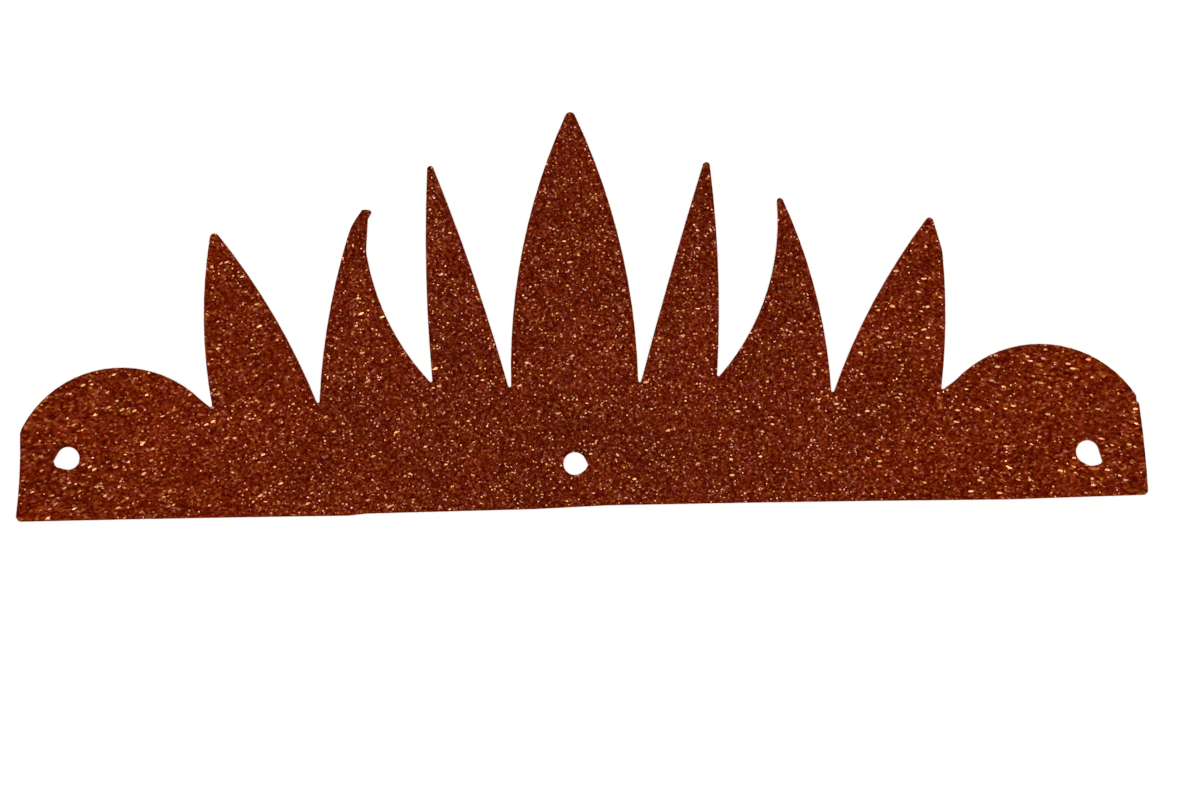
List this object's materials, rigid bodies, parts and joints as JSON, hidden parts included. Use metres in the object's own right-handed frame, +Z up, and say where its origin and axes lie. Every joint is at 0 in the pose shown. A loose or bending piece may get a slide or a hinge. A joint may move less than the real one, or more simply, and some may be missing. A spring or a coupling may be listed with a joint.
{
  "type": "paper crown",
  "caption": "Flat paper crown cut from one sheet of glitter card: pointed blades between round end lobes, with punched holes along the band for a tie.",
  "frame": {"origin": "on the plain back face, at the centre of the card's overall rectangle", "axes": "+X along the length of the band, from its left end to its right end as seen from the glitter side with the points upwards, +Y from the base edge towards the points, +Z up out of the glitter face as the card lies flat"},
  "size_m": [0.2878, 0.101, 0.0005],
  "materials": {
    "glitter_card": "copper-brown glitter on the front, plain matt paper on the back and cut edges"
  },
  "bodies": {
    "root": {"crown": "glitter_card"}
  },
  "joints": []
}
